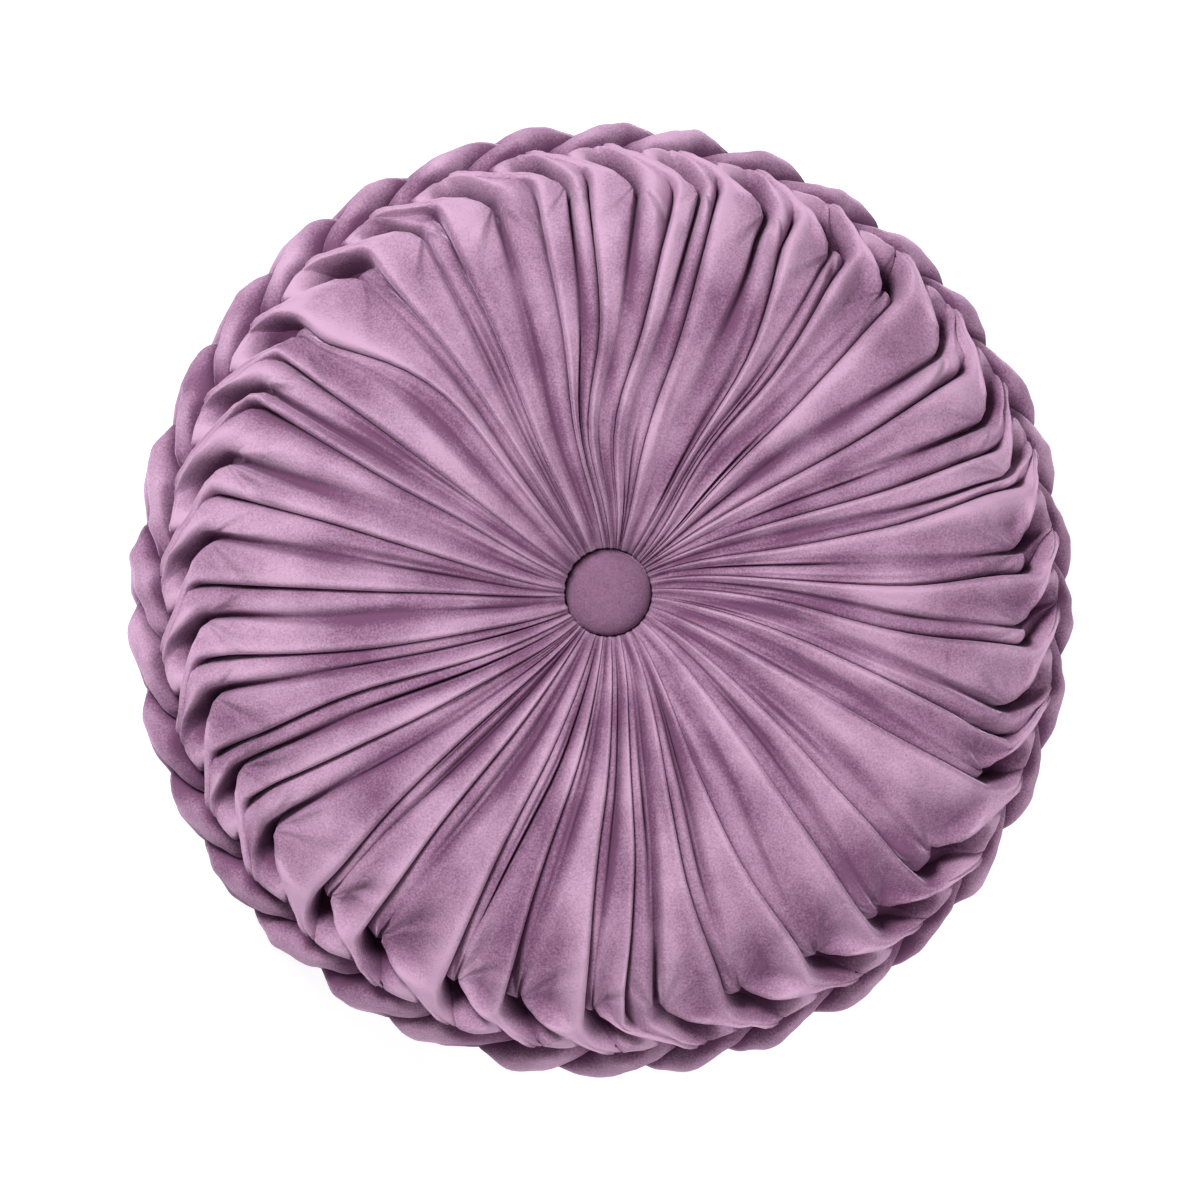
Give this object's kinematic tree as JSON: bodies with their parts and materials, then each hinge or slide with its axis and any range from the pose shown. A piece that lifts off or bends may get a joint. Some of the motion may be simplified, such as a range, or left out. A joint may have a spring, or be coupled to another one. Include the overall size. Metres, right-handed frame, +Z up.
{
  "type": "round pleated floor cushion",
  "caption": "Round, thick, filled cushion with faces pleated from a sunk covered button to a smocked, braid-like rim.",
  "frame": {"origin": "middle of the underside, on the surface that the cushion lies on", "axes": "+Z up out of the front face, through the button; X and Y across the face"},
  "size_m": [0.3794, 0.379, 0.097],
  "materials": {
    "cover_velvet": "short-pile lilac velvet, brighter where it turns away",
    "button_velvet": "short-pile lilac velvet stretched over a button"
  },
  "bodies": {
    "root": {"cushion_cover": "cover_velvet", "button_front": "button_velvet", "button_back": "button_velvet"}
  },
  "joints": []
}
